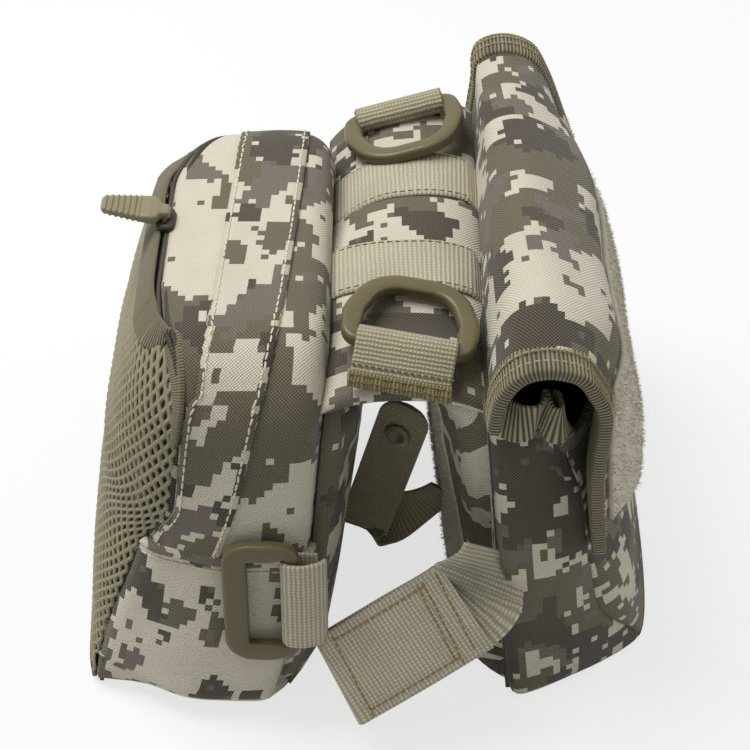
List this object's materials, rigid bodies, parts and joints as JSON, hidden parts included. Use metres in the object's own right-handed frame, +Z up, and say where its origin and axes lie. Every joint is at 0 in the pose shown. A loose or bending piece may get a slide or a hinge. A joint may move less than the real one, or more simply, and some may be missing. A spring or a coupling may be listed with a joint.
{
  "type": "saddle pack",
  "caption": "Soft saddle pack: a zipped pouch with a mesh pocket and a flap pouch joined by a padded bridge with webbing strips, D-rings, a loop buckle and straps.",
  "frame": {"origin": "middle of the pack's box on the surface it stands on", "axes": "+X from the zipped pouch to the flap pouch, +Y away from the end with the loop buckle, +Z up"},
  "size_m": [0.2244, 0.2602, 0.18],
  "materials": {
    "camo_cloth": "woven, matt",
    "dark_cloth": "woven, matt",
    "foam": "closed-cell foam, inside",
    "webbing": "ribbed webbing, matt",
    "ribbed_tape": "ribbed tape, matt",
    "moulded_plastic": "moulded, semi-gloss",
    "mesh_cloth": "knitted mesh, matt",
    "loop_pile": "fuzzy pile",
    "hook_tape": "hook tape, matt",
    "zip_coil": "coil teeth",
    "dark_metal": "painted, satin",
    "dark_webbing": "woven, matt"
  },
  "bodies": {
    "bridge": {"bridge_cover": "camo_cloth", "bridge_foam": "foam", "bridge_lining": "dark_cloth", "bridge_binding": "ribbed_tape", "strip_front": "webbing", "strip_rear": "webbing", "ring_tab_front": "webbing", "ring_tab_rear": "webbing"},
    "front_ring": {"ring_front": "moulded_plastic"},
    "rear_ring": {"ring_rear": "moulded_plastic"},
    "left_pouch": {"left_back_cover": "dark_cloth", "left_back_foam": "foam", "left_back_lining": "dark_cloth", "left_back_pad": "dark_cloth", "left_gusset": "camo_cloth", "storm_band": "camo_cloth", "left_base_patch": "camo_cloth", "zip_coil_fixed": "zip_coil", "buckle_loop": "webbing"},
    "zip_front": {"left_front_panel": "camo_cloth", "zip_coil_front": "zip_coil", "mesh_panel": "mesh_cloth", "mesh_gusset": "mesh_cloth", "mesh_binding": "ribbed_tape"},
    "slider": {"zip_slider": "dark_metal"},
    "pull": {"zip_pull": "moulded_plastic"},
    "buckle": {"loop_buckle": "moulded_plastic"},
    "right_pouch": {"right_back_cover": "camo_cloth", "right_back_foam": "foam", "right_back_lining": "dark_cloth", "right_back_pad": "camo_cloth", "right_loop_field": "loop_pile", "right_gusset": "camo_cloth", "right_front_panel": "camo_cloth", "front_loop_strip": "loop_pile", "mouth_binding": "ribbed_tape", "mouth_loop": "ribbed_tape", "flap_root": "camo_cloth", "flap_root_binding": "ribbed_tape"},
    "lid": {"flap_lid": "camo_cloth", "flap_lid_binding": "ribbed_tape", "flap_loop_patch": "loop_pile", "flap_hook_strip": "hook_tape"},
    "cinch": {"cinch_strap": "webbing", "cinch_hook_pad": "hook_tape"},
    "snap": {"snap_strap": "dark_webbing", "snap_cap": "dark_metal", "snap_socket": "dark_metal"}
  },
  "joints": [
    {"name": "left_pouch_swing", "type": "hinge", "parent": "bridge", "child": "left_pouch", "pos_m": [-0.01727, 0.01209, 0.1465], "axis": [0, 1, 0], "range_deg": [0, 28]},
    {"name": "right_pouch_swing", "type": "hinge", "parent": "bridge", "child": "right_pouch", "pos_m": [0.04103, 0.01209, 0.1465], "axis": [0, -1, 0], "range_deg": [0, 28]},
    {"name": "front_ring_swing", "type": "hinge", "parent": "bridge", "child": "front_ring", "pos_m": [0.01188, -0.06291, 0.1572], "axis": [1, 0, 0], "range_deg": [0, 150]},
    {"name": "rear_ring_swing", "type": "hinge", "parent": "bridge", "child": "rear_ring", "pos_m": [0.01188, 0.08709, 0.1572], "axis": [-1, 0, 0], "range_deg": [0, 150]},
    {"name": "zip_front_fold", "type": "hinge", "parent": "left_pouch", "child": "zip_front", "pos_m": [-0.10231, 0.00109, 0.0012], "axis": [0, -1, 0], "range_deg": [0, 70]},
    {"name": "zip_travel", "type": "slide", "parent": "left_pouch", "child": "slider", "axis": [0, 1, 0], "range_m": [-0.054, 0.042]},
    {"name": "pull_swing", "type": "hinge", "parent": "slider", "child": "pull", "pos_m": [-0.08113, 0.00709, 0.1646], "axis": [0, 1, 0], "range_deg": [0, 150]},
    {"name": "buckle_swing", "type": "hinge", "parent": "left_pouch", "child": "buckle", "pos_m": [-0.03031, -0.10585, 0.0651], "axis": [0, 0.1856, 0.9826], "range_deg": [0, 100]},
    {"name": "flap_lid_fold", "type": "hinge", "parent": "right_pouch", "child": "lid", "pos_m": [0.06157, 0.01209, 0.18], "axis": [0, -1, 0], "range_deg": [0, 120]},
    {"name": "cinch_strap_swing", "type": "hinge", "parent": "right_pouch", "child": "cinch", "pos_m": [0.04642, -0.09101, 0.078], "axis": [-0.0935, 0.1869, 0.9779], "range_deg": [0, 45]},
    {"name": "snap_strap_swing", "type": "hinge", "parent": "right_pouch", "child": "snap", "pos_m": [0.03011, -0.03591, 0.052], "axis": [-0.0923, -0.2415, 0.966], "range_deg": [-4, 14]}
  ]
}
